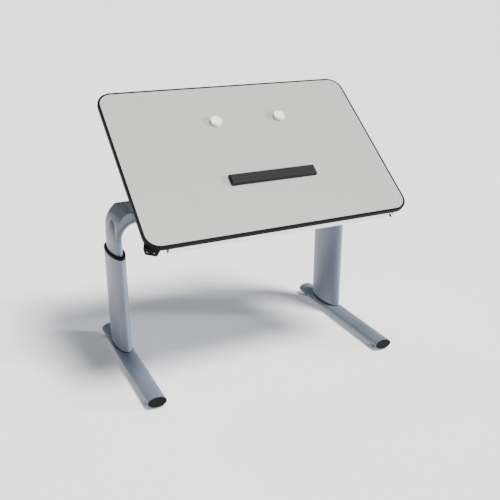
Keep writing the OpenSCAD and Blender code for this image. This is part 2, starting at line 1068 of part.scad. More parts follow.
// Two sheathed cables: each leaves a lock unit, enters the front rail, runs
// along it to the right and turns back to the lever bracket.
module release_cables() {
    r = 1.7;
    turn = 12;
    x_turn = rail_len / 2;
    stop_u = lever_u - 20;
    placed(rubber_black)
        on_top()
            for (side = [-1, 1]) {
                x = side * cable_x();
                u = cable_u() - (side < 0 ? 4 : 0);
                out_r = side < 0 ? 14 : 10;
                translate([x, 0, cable_h()])
                    rod_y(r, u + turn, prop_b - 26);
                cable_turn(x + turn, u + turn, turn, r, 180);
                translate([0, u, cable_h()])
                    rod_x(r, x + turn, x_turn);
                cable_turn(x_turn, cable_u() + 10, out_r, r, 270);
                translate([x_turn + out_r, 0, cable_h()])
                    rod_y(r, cable_u() + 10, stop_u);
            }
}

// ---- handset ----

module on_handset() {
    on_top()
        translate([handset_x, handset_u, 0])
            rotate([0, 0, handset_turn])
                children();
}

// The leaning front face: X along it, Z up it, -Y out of it.
module on_face() {
    on_handset()
        translate([0, face_y, face_h])
            rotate([-face_lean, 0, 0])
                children();
}

module button_sketch(grow) {
    w = 17 + 2 * grow;
    h = 11 + 2 * grow;
    r = 3 + grow;
    translate([-w / 2 + r, -h / 2])
        square([w - 2 * r, h]);
    translate([-w / 2, -h / 2 + r])
        square([w, h - 2 * r]);
    for (x = [-1, 1], z = [-1, 1])
        translate([x * (w / 2 - r), z * (h / 2 - r)])
            circle(r = r, $fn = 32);
}

function key_x() = [-16.2, 9.9];
function key_rise() = 13;

// Wedge-shaped housing whose front leans back towards the board.
module handset() {
    len = 44;
    top = under - 0.2;
    placed(black)
        difference() {
            on_handset()
                intersection() {
                    along_y(face_y, len)
                        polygon([[-22.5, face_h], [19.7, face_h], [25.4, 5.7], [32, top], [-31.5, top], [-33.8, 19.3]]);
                    along_x(-40, 40)
                        polygon([[face_y, face_h], [len, face_h], [len, top],
                                 [face_y + (top - face_h) * tan(face_lean), top]]);
                }
            on_face()
                for (x = key_x())
                    translate([x, 0, key_rise()])
                        along_y(-1, 6)
                            button_sketch(move_gap);
            on_handset()
                span(-18, 16, 15, 40, 4, 20);
        }
}

module button(x) {
    placed([0.12, 0.12, 0.12])
        on_face()
            translate([x, 0, key_rise()])
                along_y(-1.2, 4.5)
                    button_sketch(0);
}

// ---- tilt release lever ----

module on_lever() {
    on_top()
        translate([lever_x, lever_u, lever_h])
            children();
}

// Folded bracket: a long outer cheek whose nose reaches the board edge, a
// short inner cheek, and a stop plate for the cable sheaths.
module lever_bracket() {
    top = under - lever_h;
    placed(steel)
        on_lever() {
            difference() {
                union() {
                    along_x(8, 10)
                        polygon([[-58, 0], [-58, 7], [-30, top], [16, top], [16, -8], [-8, -8], [-20, 0]]);
                    span(-10, -8, -8, 16, -8, top);
                    span(-10, 26, -8, 26, top - 2, top);
                    span(-10, 10, -20, -18, 3, top);
                }
                rod_x(2.5 + fit_gap, -11, 11);
                for (x = [rail_len / 2 + 10, rail_len / 2 + 14])
                    translate([x - lever_x, 0, cable_h() - lever_h])
                        rod_y(0.8, -21, -17);
                for (u = [-2, 20])
                    translate([18, u, 0])
                        rod_z(2.2, top - 3, top + 1);
            }
            for (u = [-2, 20])
                translate([18, u, top - 2])
                    mirror([0, 0, 1])
                        cap_screw(2, 2, 4, 2.5, 1.6);
        }
}

// Steel lever on its pin; the front end comes forward under the board edge and
// the short upper arm pulls the cables.
module release_lever() {
    placed(steel)
        on_lever() {
            rod_x(2.5, -10.5, 10.5);
            rod_x(5.5, -5.5, 5.5);
            translate([0, 0, -4])
                rod_y(2.5, -58, 0);
            span(-3, 3, -3, 3, 0, 11);
        }
}

module lever_grip() {
    placed(black)
        on_lever()
            translate([0, 0, -4]) {
                difference() {
                    rod_y(4, -62, -32);
                    rod_y(2.5 + fit_gap, -58.5, -31);
                }
                translate([0, -62, 0])
                    sphere(r = 4, $fn = 48);
            }
}

// ---- prop frame ----

module on_prop() {
    translate([0, axle_y, hinge_z])
        rotate([180 - tilt - prop_rise_angle, 0, 0])
            children();
}

// The prop runs from the foot axle to the upper pivot; its own Y points up.
module prop_bars() {
    placed(steel)
        on_prop()
            both_sides()
                difference() {
                    union() {
                        span(prop_x, prop_x + prop_t, 0, prop_len, -prop_w / 2, prop_w / 2);
                        rod_x(12, prop_x, prop_x + prop_t);
                        translate([0, prop_len, 0])
                            rod_x(12, prop_x, prop_x + prop_t);
                    }
                    rod_x(axle_r + fit_gap, prop_x - 1, prop_x + prop_t + 1);
                    translate([0, prop_len, 0])
                        rod_x(pin_r + fit_gap, prop_x - 1, prop_x + prop_t + 1);
                }
}

module prop_pins() {
    placed(steel)
        on_prop()
            both_sides()
                translate([0, prop_len, 0])
                    rod_x(pin_r, prop_x - 24, prop_x + prop_t + 9);
}

module foot_axle() {
    placed(steel)
        translate([0, axle_y, hinge_z])
            rod_x(axle_r, -(arm_x - 6), arm_x - 6);
}

module runners() {
    placed(nylon)
        translate([0, axle_y, hinge_z])
            both_sides()
                difference() {
                    rod_x(runner_r, arm_x - 24, arm_x - 7);
                    rod_x(axle_r + fit_gap, arm_x - 25, arm_x - 6);
                }
}

// ---- loose things on the top ----

module loose_magnet(x, u) {
    placed(white)
        on_top()
            translate([x, u, top_h + 0.1]) {
                rod_z(magnet_dia / 2, 0, magnet_h - 2);
                translate([0, 0, magnet_h - 2])
                    cylinder(r1 = magnet_dia / 2, r2 = magnet_dia / 2 - 2, h = 2, $fn = 64);
            }
}

function bar_x() = 31.4;
function bar_u() = 201.3;

// Ruler bar with all its upper edges bevelled.
module ruler_bar() {
    half_l = bar_len / 2;
    half_w = bar_w / 2;
    side_cut = 5;
    end_cut = 3;
    placed(black)
        on_top()
            translate([bar_x(), bar_u(), top_h + 0.1])
                intersection() {
                    along_x(-half_l, half_l)
                        polygon([[-half_w, 0], [half_w, 0], [half_w, bar_h - side_cut],
                                 [half_w - side_cut, bar_h], [side_cut - half_w, bar_h],
                                 [-half_w, bar_h - side_cut]]);
                    along_y(-half_w, half_w)
                        polygon([[-half_l, 0], [half_l, 0], [half_l, bar_h - end_cut],
                                 [half_l - end_cut, bar_h], [end_cut - half_l, bar_h],
                                 [-half_l, bar_h - end_cut]]);
                }
}

foot(-1);  // foot_left
foot(1);  // foot_right
foot_caps();
glides();
leg_plates();
column_gaskets();
column(-1);  // column_left
column(1);  // column_right
column_bolts();
collar_rings();
guide_sleeves();
lift_tubes();
lift_nuts();
spindle(-1);  // spindle_left
spindle(1);  // spindle_right
inner_tube(-1);  // inner_tube_left
inner_tube(1);  // inner_tube_right
slide_shoes();
motors();
motor_cables();
elbow(-1);  // elbow_left
elbow(1);  // elbow_right
splice_blocks();
elbow_screws();
cross_beam();
box_saddle();
control_box();
mains_inlet();
arm(-1);  // arm_left
arm(1);  // arm_right
beam_screws();
hinge_lugs();
rest_buffers();
board_core();
steel_sheet();
writing_surface();
edge_band();
front_rail();
rail_caps();
side_rails();
rear_rail();
hinge_brackets();
hinge_pins();
prop_brackets();
lock_units();
bracket_screws();
release_cables();
handset();
lever_bracket();
button(key_x()[0]);  // up_button
button(key_x()[1]);  // down_button
release_lever();
lever_grip();
prop_bars();
prop_pins();
foot_axle();
runners();
loose_magnet(-121, 522);  // magnet_left
loose_magnet(188, 523);  // magnet_right
ruler_bar();
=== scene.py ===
import json
import math

import bmesh
import bpy
import numpy as np
from bpy.props import FloatProperty, FloatVectorProperty, PointerProperty
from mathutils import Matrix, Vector


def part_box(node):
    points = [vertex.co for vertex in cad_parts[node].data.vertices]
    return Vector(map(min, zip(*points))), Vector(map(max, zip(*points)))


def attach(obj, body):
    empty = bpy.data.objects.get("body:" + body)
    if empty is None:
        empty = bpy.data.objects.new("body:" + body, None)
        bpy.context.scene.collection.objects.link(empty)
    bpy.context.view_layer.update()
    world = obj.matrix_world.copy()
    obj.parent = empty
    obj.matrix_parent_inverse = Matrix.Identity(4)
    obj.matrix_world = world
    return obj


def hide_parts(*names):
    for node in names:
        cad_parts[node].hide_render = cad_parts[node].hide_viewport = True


bl_info = {
    "name": "Drafting table finish",
    "version": (1, 0, 0),
    "blender": (4, 5, 0),
    "location": "3D View > Sidebar > Drafting table",
    "description": "Finishes, mouldings, keys, magnets and a studio for a tilting sit-stand drafting table",
    "category": "Object",
}

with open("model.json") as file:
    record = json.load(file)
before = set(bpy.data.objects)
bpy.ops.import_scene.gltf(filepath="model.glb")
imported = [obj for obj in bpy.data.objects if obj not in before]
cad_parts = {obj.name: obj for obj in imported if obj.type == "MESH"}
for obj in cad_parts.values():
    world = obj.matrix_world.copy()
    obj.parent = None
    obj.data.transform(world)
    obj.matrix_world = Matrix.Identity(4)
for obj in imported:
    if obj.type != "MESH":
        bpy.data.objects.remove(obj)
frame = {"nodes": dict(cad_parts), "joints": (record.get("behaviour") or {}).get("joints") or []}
NODES = frame["nodes"]
JOINTS = {j["name"]: j for j in frame["joints"]}
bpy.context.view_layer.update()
MM = 0.001

# The tilting top's own frame: along the hinge, up the slope, square to the surface.
HINGE = np.array(JOINTS["tilt"]["pos_m"], float)
ALONG = np.array([1.0, 0.0, 0.0])
SQUARE = np.array(JOINTS["bar_lift"]["axis"], float)
SQUARE = SQUARE / np.linalg.norm(SQUARE)
UPHILL = np.cross(SQUARE, ALONG)


def middle(node):
    """Centre of a CAD node's box."""
    low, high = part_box(node)
    return (np.array(low) + np.array(high)) / 2


def in_top(point):
    """A row-frame point in the top's own frame, as distances from the hinge line."""
    gap = np.array(point, float) - HINGE
    return np.array([gap @ ALONG, gap @ UPHILL, gap @ SQUARE])


def node_points(node):
    """All the corners of a CAD node as an array."""
    mesh = NODES[node].data
    flat = np.empty(len(mesh.vertices) * 3)
    mesh.vertices.foreach_get("co", flat)
    return flat.reshape(-1, 3)


def top_span(node):
    """Lowest and highest corner of a CAD node, measured in the top's own frame."""
    gap = node_points(node) - HINGE
    local = np.stack([gap @ ALONG, gap @ UPHILL, gap @ SQUARE], axis=1)
    return local.min(0), local.max(0)


# ---------------------------------------------------------------- sizes and settings

class TableSizes(bpy.types.PropertyGroup):
    edge_softness: FloatProperty(
        name="Edge softness", description="Rounding of the moulded edges", default=1.2 * MM,
        min=0.2 * MM, max=3 * MM, unit="LENGTH")
    magnet_rim: FloatProperty(
        name="Magnet rim", description="Rounding of a magnet's upper rim", default=2.4 * MM,
        min=0.5 * MM, max=5 * MM, unit="LENGTH")
    arrow_size: FloatProperty(
        name="Arrow size", description="Width of the raised arrow on each key", default=9.0 * MM,
        min=4 * MM, max=12 * MM, unit="LENGTH")
    rail_corner: FloatProperty(
        name="Rail corner", description="Corner radius of the front rail", default=2.5 * MM,
        min=1 * MM, max=6 * MM, unit="LENGTH")


class StudioSettings(bpy.types.PropertyGroup):
    key_heading: FloatVectorProperty(
        name="Key heading", description="Direction from the table to the key light",
        default=(0.26, -0.44, 0.86), size=3, subtype="DIRECTION")
    key_strength: FloatProperty(
        name="Key light", description="Strength of the large soft light at the right front", default=6.4,
        min=0, max=20)
    side_heading: FloatVectorProperty(
        name="Side heading", description="Direction from the table to the low light at the right",
        default=(0.88, -0.44, 0.13), size=3, subtype="DIRECTION")
    side_strength: FloatProperty(
        name="Side light", description="Strength of the low light from the right", default=6.4,
        min=0, max=20)
    rear_heading: FloatVectorProperty(
        name="Rear heading", description="Direction from the table to the rear light",
        default=(-0.22, 0.50, 0.84), size=3, subtype="DIRECTION")
    rear_strength: FloatProperty(
        name="Rear light", description="Strength of the high light from behind", default=0.25,
        min=0, max=20)
    softness: FloatProperty(
        name="Softness", description="Apparent width of the key and rear lights", default=math.radians(17),
        min=math.radians(0.5), max=math.radians(90), subtype="ANGLE")
    side_softness: FloatProperty(
        name="Side softness", description="Apparent width of the side light", default=math.radians(9),
        min=math.radians(0.5), max=math.radians(90), subtype="ANGLE")
    sky_strength: FloatProperty(
        name="Room light", description="Strength of the even light all round", default=0.36,
        min=0, max=5)


# ---------------------------------------------------------------- mesh helpers

def from_hex(code):
    """A six-digit sRGB hex colour as linear light with full alpha."""
    parts = np.array([int(code[i:i + 2], 16) for i in (0, 2, 4)]) / 255
    linear = np.where(parts <= 0.04045, parts / 12.92, ((parts + 0.055) / 1.055) ** 2.4)
    return (*[float(v) for v in linear], 1.0)


def grid_faces(rows, columns, wrap_rows=False):
    """Quads between neighbouring rows and columns of points.  Columns always close
    on themselves; rows close too when wrap_rows is set."""
    count = rows if wrap_rows else rows - 1
    r, c = np.meshgrid(np.arange(count), np.arange(columns), indexing="ij")
    r2, c2 = (r + 1) % rows, (c + 1) % columns
    quads = np.stack([r * columns + c, r * columns + c2, r2 * columns + c2, r2 * columns + c], -1)
    return quads.reshape(-1, 4)


def make_piece(name, points, wrap_rows=False, caps=True, smooth=True):
    """A mesh object from a grid of points shaped (rows, columns, 3).  Each row is a
    closed loop.  With caps, the first and last loops are filled."""
    rows, columns, _ = points.shape
    faces = grid_faces(rows, columns, wrap_rows).tolist()
    if caps and not wrap_rows:
        faces.append(list(range(columns)))
        faces.append(list(range((rows - 1) * columns, rows * columns)))
    mesh = bpy.data.meshes.new(name)
    mesh.from_pydata(points.reshape(-1, 3).tolist(), [], faces)
    work = bmesh.new()
    work.from_mesh(mesh)
    bmesh.ops.remove_doubles(work, verts=work.verts, dist=1e-7)
    bmesh.ops.recalc_face_normals(work, faces=work.faces)
    work.to_mesh(mesh)
    work.free()
    if smooth:
        mesh.polygons.foreach_set("use_smooth", np.ones(len(mesh.polygons), bool))
        mesh.set_sharp_from_angle(angle=math.radians(38))
    piece = bpy.data.objects.new(name, mesh)
    bpy.context.scene.collection.objects.link(piece)
    return piece


def joined(name, parts):
    """Several pieces merged into one mesh object; the parts are removed."""
    work = bmesh.new()
    for part in parts:
        work.from_mesh(part.data)
    mesh = bpy.data.meshes.new(name)
    work.to_mesh(mesh)
    work.free()
    mesh.polygons.foreach_set("use_smooth", np.ones(len(mesh.polygons), bool))
    mesh.set_sharp_from_angle(angle=math.radians(38))
    for part in parts:
        bpy.data.objects.remove(part)
    piece = bpy.data.objects.new(name, mesh)
    bpy.context.scene.collection.objects.link(piece)
    return piece


def rounded(piece, width, segments=3):
    """A bevel on every edge sharper than 30 degrees."""
    bevel = piece.modifiers.new("edge_rounding", "BEVEL")
    bevel.width = width
    bevel.segments = segments
    bevel.limit_method = "ANGLE"
    bevel.angle_limit = math.radians(30)
    bevel.harden_normals = False
    return piece


def turned(profile, centre, axis, turns=96):
    """A lathe shape.  Each (radius, height) of the profile becomes a circle of that
    radius about the axis, that far along it from the centre."""
    profile = np.array(profile, float)
    axis = np.array(axis, float) / np.linalg.norm(axis)
    side = np.cross(axis, [1.0, 0, 0] if abs(axis[0]) < 0.9 else [0, 1.0, 0])
    side /= np.linalg.norm(side)
    other = np.cross(axis, side)
    angle = np.linspace(0, 2 * np.pi, turns, endpoint=False)
    circle = np.cos(angle)[:, None] * side + np.sin(angle)[:, None] * other
    return centre + profile[:, :1, None] * circle[None] + profile[:, 1:, None] * axis


def oval_rows(levels, centre, half_a, half_b, axis_a, axis_b, axis_h, turns=160):
    """Oval loops.  Each level holds (a, b, height): the two half axes and the distance
    along axis_h.  A loop's points are a*cos along axis_a plus b*sin along axis_b."""
    angle = np.linspace(0, 2 * np.pi, turns, endpoint=False)
    levels = np.array(levels, float)
    across = (half_a + levels[:, 0])[:, None] * np.cos(angle)
    deep = (half_b + levels[:, 1])[:, None] * np.sin(angle)
    a, b, h = (np.array(v, float) for v in (axis_a, axis_b, axis_h))
    return (centre + across[..., None] * a + deep[..., None] * b
            + levels[:, 2][:, None, None] * h)


def swept(outline, stations, origin, axis_a, axis_b, axis_l):
    """A closed outline of (a, b) points repeated at stations along axis_l.  A station is
    a distance and the highest b the outline may reach there, or None for no limit."""
    outline = np.array(outline, float)
    rows = []
    for distance, limit in stations:
        b = outline[:, 1] if limit is None else np.minimum(outline[:, 1], limit)
        rows.append(origin + outline[:, :1] * axis_a + b[:, None] * axis_b + distance * axis_l)
    return np.array(rows)


def round_rectangle(width, height, radius, steps=6):
    """Outline of a rectangle about the origin with quarter-circle corners."""
    quarter = np.linspace(0, np.pi / 2, steps)
    loops = []
    for k, (sx, sy) in enumerate([(1, 1), (-1, 1), (-1, -1), (1, -1)]):
        angle = quarter + k * np.pi / 2
        loops.append(np.stack([sx * (width / 2 - radius) + radius * np.cos(angle),
                               sy * (height / 2 - radius) + radius * np.sin(angle)], 1))
    return np.concatenate(loops)


def finish_piece(piece, body, slot, material, *replaced):
    """Give a piece its material, let it ride on its body and stand for CAD nodes."""
    piece.data.materials.clear()
    piece.data.materials.append(material)
    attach(piece, body)
    if replaced:
        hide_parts(*replaced)
    return piece


def coat(node, material):
    """Put a material on every slot of a CAD node."""
    slots = NODES[node].data.materials
    if not len(slots):
        slots.append(material)
    for i in range(len(slots)):
        slots[i] = material


# ---------------------------------------------------------------- materials

def add(tree, kind, inputs=None, **settings):
    """Add a node, set its properties, and set or link its inputs."""
    node = tree.nodes.new(kind)
    for key, value in settings.items():
        setattr(node, key, value)
    for key, value in (inputs or {}).items():
        if isinstance(value, bpy.types.NodeSocket):
            tree.links.new(value, node.inputs[key])
        else:
            node.inputs[key].default_value = value
    return node


def surface(name, **uniform):
    """A new material with a Principled shader whose even values are set directly."""
    material = bpy.data.materials.new(name)
    material.use_nodes = True
    tree = material.node_tree
    shader = tree.nodes["Principled BSDF"]
    for key, value in uniform.items():
        shader.inputs[key.replace("_", " ")].default_value = value
    return material, tree, shader


def place(tree, scale):
    """Object coordinates stretched by a scale given in cycles per metre."""
    coords = add(tree, "ShaderNodeTexCoord")
    return add(tree, "ShaderNodeMapping", {"Vector": coords.outputs["Object"], "Scale": scale}).outputs[0]


def tint(tree, shader, pattern, dark, light, low=0.3, high=0.7):
    """Colour between two tones by a pattern."""
    spread = add(tree, "ShaderNodeMapRange", {"Value": pattern, "From Min": low, "From Max": high})
    mix = add(tree, "ShaderNodeMix", {"Factor": spread.outputs[0], "A": dark, "B": light}, data_type="RGBA")
    tree.links.new(mix.outputs["Result"], shader.inputs["Base Color"])


def vary_roughness(tree, shader, pattern, low, high):
    """Roughness between two values by a pattern."""
    spread = add(tree, "ShaderNodeMapRange",
                 {"Value": pattern, "From Min": 0.25, "From Max": 0.75, "To Min": low, "To Max": high})
    tree.links.new(spread.outputs[0], shader.inputs["Roughness"])


def emboss(tree, shader, height, distance, strength=1.0, below=None):
    """Bump of a given real depth in metres, on top of another bump if given."""
    inputs = {"Height": height, "Distance": distance, "Strength": strength}
    if below:
        inputs["Normal"] = below.outputs[0]
    bump = add(tree, "ShaderNodeBump", inputs)
    tree.links.new(bump.outputs[0], shader.inputs["Normal"])
    return bump


def noise(tree, scale, detail=3.0, rough=0.5):
    """Noise value over Object coordinates with the given cycles per metre on each axis."""
    return add(tree, "ShaderNodeTexNoise",
               {"Vector": place(tree, scale), "Scale": 1.0, "Detail": detail,
                "Roughness": rough}).outputs["Fac"]


def even(size):
    """The same cycles per metre on all axes for a feature of that size in metres."""
    return (1 / size, 1 / size, 1 / size)


def anodised_aluminium(name, along, light_tone="6D7684", dark_tone="656E7C"):
    """Extruded aluminium, satin etched and anodised.  The eye gets a soft, broad
    highlight with faint die lines running the length of the profile; the lines are
    drawn 1.6 mm apart, coarser than real ones, so that they show.  Metallic is far
    below a metal's 1: it was matched under this stage's lights."""
    material, tree, shader = surface(name, Metallic=0.18)
    lines = [1 / (1.6 * MM)] * 3
    lines[along] = 1 / 0.35
    die_lines = noise(tree, tuple(lines), 2.0)
    clouds = noise(tree, even(0.16), 2.0)
    tint(tree, shader, clouds, from_hex(dark_tone), from_hex(light_tone))
    vary_roughness(tree, shader, die_lines, 0.33, 0.43)
    etch = noise(tree, even(0.9 * MM), 2.0)
    first = emboss(tree, shader, etch, 0.012 * MM, 0.6)
    emboss(tree, shader, die_lines, 0.008 * MM, 0.5, first)
    return material


def silver_lacquer():
    """Die-cast aluminium with silver lacquer: a close tone to the extrusions but with a
    fine orange peel about 1.5 mm across and tiny bright flakes.  Metallic is matched
    under this stage's lights, as on the extrusions."""
    material, tree, shader = surface("silver_lacquered_casting", Metallic=0.2,
                                     Coat_Weight=0.15, Coat_Roughness=0.35)
    flakes = add(tree, "ShaderNodeTexVoronoi", {"Vector": place(tree, even(0.8 * MM)), "Scale": 1.0})
    tint(tree, shader, flakes.outputs["Distance"], from_hex("666E79"), from_hex("5B636D"), 0.1, 0.8)
    peel = noise(tree, even(1.5 * MM), 3.0)
    vary_roughness(tree, shader, noise(tree, even(0.05), 2.0), 0.36, 0.46)
    emboss(tree, shader, peel, 0.03 * MM, 0.55)
    return material


def zinc_plated_steel():
    """Zinc-plated steel: cool grey, with a mottled spangle a few millimetres across."""
    material, tree, shader = surface("zinc_plated_steel", Metallic=0.92)
    spangle = add(tree, "ShaderNodeTexVoronoi", {"Vector": place(tree, even(4 * MM)), "Scale": 1.0})
    tint(tree, shader, spangle.outputs["Distance"], from_hex("A9ADB0"), from_hex("C2C4C3"), 0.1, 0.8)
    vary_roughness(tree, shader, noise(tree, even(6 * MM), 3.0), 0.28, 0.42)
    emboss(tree, shader, noise(tree, even(1.2 * MM), 2.0), 0.015 * MM, 0.5)
    return material


def stainless_painted_highlight():
    """Polished stainless steel of the visible screws: very bright, with faint turning
    rings and a few fine scratches.  The near-white colour is painted highlight, and metallic is lowered so
    that they stay bright."""
    material, tree, shader = surface("stainless_painted_highlight", Metallic=0.3)
    # Near-white colour: painted highlight on the screw heads, whiter than the steel itself.
    tint(tree, shader, noise(tree, even(3 * MM), 3.0), from_hex("F2F4F6"), from_hex("FBFCFC"))
    vary_roughness(tree, shader, noise(tree, even(0.9 * MM), 3.0), 0.30, 0.42)
    emboss(tree, shader, noise(tree, even(0.6 * MM), 2.0), 0.01 * MM, 0.4)
    return material


def phosphated_steel():
    """Phosphated steel: almost black, dry and slightly blotchy."""
    material, tree, shader = surface("phosphated_steel", Metallic=0.55)
    tint(tree, shader, noise(tree, even(9 * MM), 4.0), from_hex("2F3133"), from_hex("414345"))
    vary_roughness(tree, shader, noise(tree, even(3 * MM), 3.0), 0.5, 0.66)
    emboss(tree, shader, noise(tree, even(0.8 * MM), 3.0), 0.02 * MM, 0.6)
    return material


def high_pressure_laminate():
    """High-pressure laminate pressed against a pearl-textured plate: an even grey,
    matt, with shallow pearls about 1.4 mm across that soften every reflection, and a
    barely visible printed mottle.  The tone is darker than the sheet's own colour,
    because this stage's lights are strong."""
    material, tree, shader = surface("high_pressure_laminate", Specular_IOR_Level=0.42)
    mottle = noise(tree, even(3.5 * MM), 4.0, 0.6)
    tint(tree, shader, mottle, from_hex("969694"), from_hex("9C9C99"))
    wear = noise(tree, even(0.22), 3.0)
    vary_roughness(tree, shader, wear, 0.46, 0.55)
    pearls = add(tree, "ShaderNodeTexVoronoi",
                 {"Vector": place(tree, even(1.4 * MM)), "Scale": 1.0, "Smoothness": 0.8},
                 feature="SMOOTH_F1")
    emboss(tree, shader, pearls.outputs["Distance"], 0.03 * MM, 0.5)
    return material


def backing_laminate():
    """Balancing laminate under the board: a plain warm grey paper-faced sheet with long
    sanding marks across it."""
    material, tree, shader = surface("backing_laminate", Specular_IOR_Level=0.35)
    tint(tree, shader, noise(tree, even(14 * MM), 4.0), from_hex("A09E99"), from_hex("ADABA6"))
    sanding = noise(tree, (1 / 0.09, 1 / (1.8 * MM), 1 / (1.8 * MM)), 3.0)
    vary_roughness(tree, shader, sanding, 0.55, 0.68)
    emboss(tree, shader, sanding, 0.03 * MM, 0.5)
    return material


def moulded_edging():
    """Cast polyurethane edging: black, soft to the hand, with a leather-like grain about
    1.1 mm across and slightly polished patches where arms rest.  The specular level is
    lowered so that it stays black under this stage's lights."""
    material, tree, shader = surface("polyurethane_edging", Specular_IOR_Level=0.06)
    tint(tree, shader, noise(tree, even(0.03), 3.0), from_hex("060606"), from_hex("0A0A0A"))
    vary_roughness(tree, shader, noise(tree, even(0.12), 3.0), 0.42, 0.55)
    grain = add(tree, "ShaderNodeTexVoronoi", {"Vector": place(tree, even(1.1 * MM)), "Scale": 1.0})
    emboss(tree, shader, grain.outputs["Distance"], 0.05 * MM, 0.55)
    return material


def spark_grained_plastic(name, dark="060606", light="0A0A0A"):
    """Injection-moulded ABS from a spark-eroded mould: a fine, even matt grain about
    0.7 mm across that breaks up the highlight.  The specular level is lowered, as
    on the edging."""
    material, tree, shader = surface(name, Specular_IOR_Level=0.12)
    tint(tree, shader, noise(tree, even(0.02), 3.0), from_hex(dark), from_hex(light))
    vary_roughness(tree, shader, noise(tree, even(2 * MM), 3.0), 0.45, 0.58)
    emboss(tree, shader, noise(tree, even(0.7 * MM), 3.0), 0.04 * MM, 0.6)
    return material


def vulcanised_rubber():
    """Vulcanised rubber: dead matt and nearly black, with a dusty bloom."""
    material, tree, shader = surface("vulcanised_rubber", Specular_IOR_Level=0.3)
    tint(tree, shader, noise(tree, even(8 * MM), 4.0), from_hex("181818"), from_hex("232322"))
    vary_roughness(tree, shader, noise(tree, even(5 * MM), 3.0), 0.68, 0.82)
    emboss(tree, shader, noise(tree, even(1.0 * MM), 3.0), 0.03 * MM, 0.5)
    return material


def powder_coat(name, dark, light):
    """Polyester powder coat: satin, with an orange peel about 2 mm across."""
    material, tree, shader = surface(name, Specular_IOR_Level=0.5, Coat_Weight=0.1, Coat_Roughness=0.3)
    tint(tree, shader, noise(tree, even(6 * MM), 3.0), from_hex(dark), from_hex(light))
    vary_roughness(tree, shader, noise(tree, even(0.03), 2.0), 0.36, 0.46)
    emboss(tree, shader, noise(tree, even(2.0 * MM), 2.0), 0.05 * MM, 0.5)
    return material


def gloss_white_plastic():
    """Polished white ABS of a magnet's cap: bright and smooth, with slight moulding
    ripple and a few fine handling marks."""
    material, tree, shader = surface("polished_white_abs", Specular_IOR_Level=0.5)
    tint(tree, shader, noise(tree, even(0.012), 2.0), from_hex("DDDDDA"), from_hex("E6E6E4"))
    vary_roughness(tree, shader, noise(tree, even(4 * MM), 4.0), 0.24, 0.36)
    emboss(tree, shader, noise(tree, even(0.009), 2.0), 0.03 * MM, 0.5)
    return material


def brushed_black_anodising():
    """Aluminium bar brushed along its length and anodised black: a soft streaky sheen,
    streaks drawn 0.9 mm apart.  Metallic and specular level are lowered."""
    material, tree, shader = surface("brushed_black_anodising", Metallic=0.25, Specular_IOR_Level=0.22)
    streaks = noise(tree, (1 / 0.14, 1 / (0.9 * MM), 1 / (0.9 * MM)), 3.0)
    tint(tree, shader, streaks, from_hex("0B0C0D"), from_hex("131415"))
    vary_roughness(tree, shader, streaks, 0.38, 0.52)
    emboss(tree, shader, streaks, 0.02 * MM, 0.5)
    return material


def turned_brass():
    """Turned brass with fine tool rings and a little tarnish."""
    material, tree, shader = surface("turned_brass", Metallic=1.0)
    tint(tree, shader, noise(tree, even(6 * MM), 3.0), from_hex("B08D4A"), from_hex("C8A560"))
    rings = noise(tree, (1 / 0.05, 1 / 0.05, 1 / (0.8 * MM)), 2.0)
    vary_roughness(tree, shader, rings, 0.25, 0.4)
    emboss(tree, shader, rings, 0.02 * MM, 0.5)
    return material


def natural_nylon():
    """Natural nylon: creamy, waxy and slightly translucent to look at."""
    material, tree, shader = surface("natural_nylon", Specular_IOR_Level=0.4)
    tint(tree, shader, noise(tree, even(0.02), 3.0), from_hex("D2CFC2"), from_hex("DEDBD0"))
    vary_roughness(tree, shader, noise(tree, even(3 * MM), 3.0), 0.4, 0.52)
    emboss(tree, shader, noise(tree, even(1.5 * MM), 2.0), 0.03 * MM, 0.5)
    return material


def printed_arrow():
    """Pad-printed ink on a key: mid grey, matt and slightly uneven."""
    material, tree, shader = surface("pad_printed_ink", Specular_IOR_Level=0.4)
    tint(tree, shader, noise(tree, even(2 * MM), 3.0), from_hex("6E7072"), from_hex("7C7E80"))
    vary_roughness(tree, shader, noise(tree, even(1 * MM), 3.0), 0.5, 0.65)
    emboss(tree, shader, noise(tree, even(0.6 * MM), 2.0), 0.02 * MM, 0.4)
    return material


FINISHES = {}


def finishes():
    """All the finishes by name, made once."""
    if not FINISHES:
        FINISHES.update(
            profile_y=anodised_aluminium("anodised_aluminium_feet", 1),
            profile_z=anodised_aluminium("anodised_aluminium_columns", 2),
            profile_x=anodised_aluminium("anodised_aluminium_beam", 0),
            casting=silver_lacquer(),
            zinc=zinc_plated_steel(),
            dark_steel=phosphated_steel(),
            bright=stainless_painted_highlight(),
            laminate=high_pressure_laminate(),
            backing=backing_laminate(),
            edging=moulded_edging(),
            black=spark_grained_plastic("spark_grained_abs"),
            keys=spark_grained_plastic("satin_key_abs", "0C0C0C", "121212"),
            grey_caps=spark_grained_plastic("grey_end_cap_abs", "6D7276", "787D81"),
            rubber=vulcanised_rubber(),
            rail=powder_coat("light_grey_powder_coat", "DADDDC", "E2E4E3"),
            white=gloss_white_plastic(),
            bar=brushed_black_anodising(),
            brass=turned_brass(),
            nylon=natural_nylon(),
            ink=printed_arrow(),
        )
    return FINISHES


